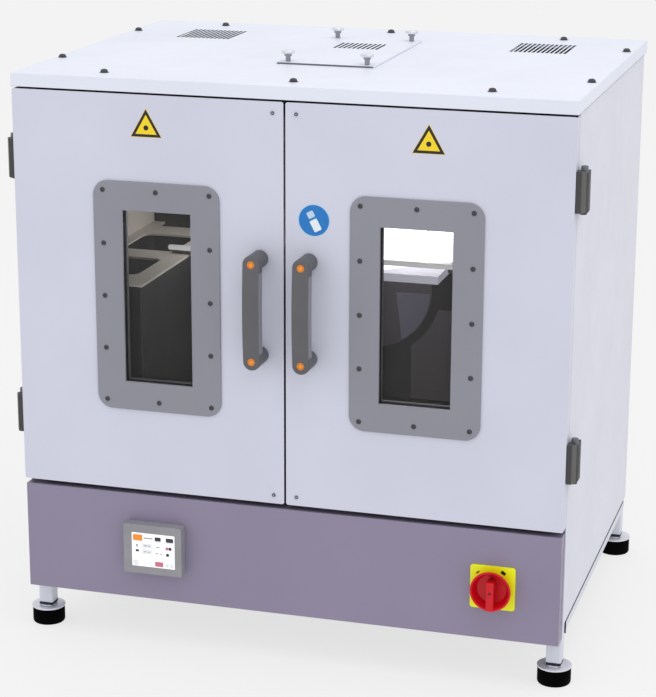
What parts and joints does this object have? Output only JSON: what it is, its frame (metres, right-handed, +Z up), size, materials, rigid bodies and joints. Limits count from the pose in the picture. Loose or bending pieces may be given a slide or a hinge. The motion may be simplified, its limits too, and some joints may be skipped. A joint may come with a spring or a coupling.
{
  "type": "reflow oven",
  "caption": "Free-standing batch reflow oven with twin glazed doors, heated chamber, touch controller, rotary main switch and a lift-off access panel on top.",
  "frame": {"origin": "on the floor plane below the middle of the overall box", "axes": "+Z up, -Y towards the front (doors), +X to the right seen from the front"},
  "size_m": [0.8258, 0.648, 0.8546],
  "materials": {
    "casing_paint": "fine textured light grey-white powder coat",
    "fascia_paint": "mauve-grey powder coat",
    "frame_paint": "light grey powder coat",
    "bezel_paint": "grey powder coat",
    "zinc_sheet": "zinc-plated sheet",
    "bright_steel": "bright turned steel",
    "rubber_black": "matt black rubber",
    "seal_rubber": "dark silicone",
    "handle_plastic": "fine-grained dark grey plastic",
    "hinge_plastic": "dark grey plastic",
    "window_glass": "clear glass",
    "liner_steel": "heat-tinted steel sheet",
    "rack_steel": "beige heat-resistant coat",
    "shelf_aluminium": "satin aluminium plate",
    "white_ceramic": "white fired ceramic",
    "controller_plastic": "grey moulded plastic",
    "display": "backlit touch screen",
    "yellow_plastic": "yellow plastic",
    "red_plastic": "red plastic",
    "black_plastic": "black plastic"
  },
  "bodies": {
    "cabinet": {"front_left_foot": "rubber_black", "front_left_post": "frame_paint", "front_right_foot": "rubber_black", "front_right_post": "frame_paint", "rear_left_foot": "rubber_black", "rear_left_post": "frame_paint", "rear_right_foot": "rubber_black", "rear_right_post": "frame_paint", "left_bottom_rail": "frame_paint", "right_bottom_rail": "frame_paint", "front_top_rail": "frame_paint", "rear_top_rail": "frame_paint", "front_middle_rail": "frame_paint", "base_panel": "zinc_sheet", "control_fascia": "fascia_paint", "left_side_panel": "casing_paint", "right_side_panel": "casing_paint", "back_panel": "casing_paint", "top_cover": "casing_paint", "left_upper_hinge_cabinet_leaf": "hinge_plastic", "left_lower_hinge_cabinet_leaf": "hinge_plastic", "left_rack": "rack_steel", "right_upper_hinge_cabinet_leaf": "hinge_plastic", "right_lower_hinge_cabinet_leaf": "hinge_plastic", "right_rack": "rack_steel", "chamber_liner": "liner_steel", "board_shelf": "shelf_aluminium", "reflector_hood": "white_ceramic", "ir_emitter_1": "white_ceramic", "ir_emitter_2": "white_ceramic", "temperature_probe": "bright_steel", "controller_housing": "controller_plastic", "controller_screen": "display", "main_switch_body": "yellow_plastic", "mains_inlet": "black_plastic", "fan_housing": "black_plastic", "power_supply": "zinc_sheet"},
    "left_door": {"left_door_pan": "casing_paint", "left_door_inner_panel": "zinc_sheet", "left_window_glass": "window_glass", "left_window_gasket": "seal_rubber", "left_window_bezel": "bezel_paint", "left_handle": "handle_plastic", "left_upper_hinge_door_leaf": "hinge_plastic", "left_lower_hinge_door_leaf": "hinge_plastic"},
    "right_door": {"right_door_pan": "casing_paint", "right_door_inner_panel": "zinc_sheet", "right_window_glass": "window_glass", "right_window_gasket": "seal_rubber", "right_window_bezel": "bezel_paint", "right_handle": "handle_plastic", "right_upper_hinge_door_leaf": "hinge_plastic", "right_lower_hinge_door_leaf": "hinge_plastic"},
    "access_panel": {"access_panel": "casing_paint"},
    "thumb_screw_1": {"thumb_screw_1": "bright_steel"},
    "thumb_screw_2": {"thumb_screw_2": "bright_steel"},
    "thumb_screw_3": {"thumb_screw_3": "bright_steel"},
    "thumb_screw_4": {"thumb_screw_4": "bright_steel"},
    "main_switch_knob": {"main_switch_knob": "red_plastic"},
    "fan_rotor": {"fan_rotor": "black_plastic"}
  },
  "joints": [
    {"name": "left_door_swing", "type": "hinge", "parent": "cabinet", "child": "left_door", "pos_m": [-0.408, -0.258, 0.5265], "axis": [0, 0, -1], "range_deg": [0, 115]},
    {"name": "right_door_swing", "type": "hinge", "parent": "cabinet", "child": "right_door", "pos_m": [0.408, -0.258, 0.5265], "axis": [0, 0, 1], "range_deg": [0, 115]},
    {"name": "access_panel_lift", "type": "slide", "parent": "cabinet", "child": "access_panel", "axis": [0, 0, 1], "range_m": [0, 0.08]},
    {"name": "main_switch_turn", "type": "hinge", "parent": "cabinet", "child": "main_switch_knob", "pos_m": [0.3035, -0.289, 0.1487], "axis": [0, 1, 0], "range_deg": [0, 90]},
    {"name": "fan_spin", "type": "hinge", "parent": "cabinet", "child": "fan_rotor", "pos_m": [-0.2, 0.281, 0.234], "axis": [0, 1, 0], "continuous": true},
    {"name": "thumb_screw_1_turn", "type": "hinge", "parent": "access_panel", "child": "thumb_screw_1", "pos_m": [-0.059, -0.072, 0.845], "axis": [0, 0, 1], "continuous": true},
    {"name": "thumb_screw_2_turn", "type": "hinge", "parent": "access_panel", "child": "thumb_screw_2", "pos_m": [0.059, -0.072, 0.845], "axis": [0, 0, 1], "continuous": true},
    {"name": "thumb_screw_3_turn", "type": "hinge", "parent": "access_panel", "child": "thumb_screw_3", "pos_m": [-0.059, 0.186, 0.845], "axis": [0, 0, 1], "continuous": true},
    {"name": "thumb_screw_4_turn", "type": "hinge", "parent": "access_panel", "child": "thumb_screw_4", "pos_m": [0.059, 0.186, 0.845], "axis": [0, 0, 1], "continuous": true}
  ]
}
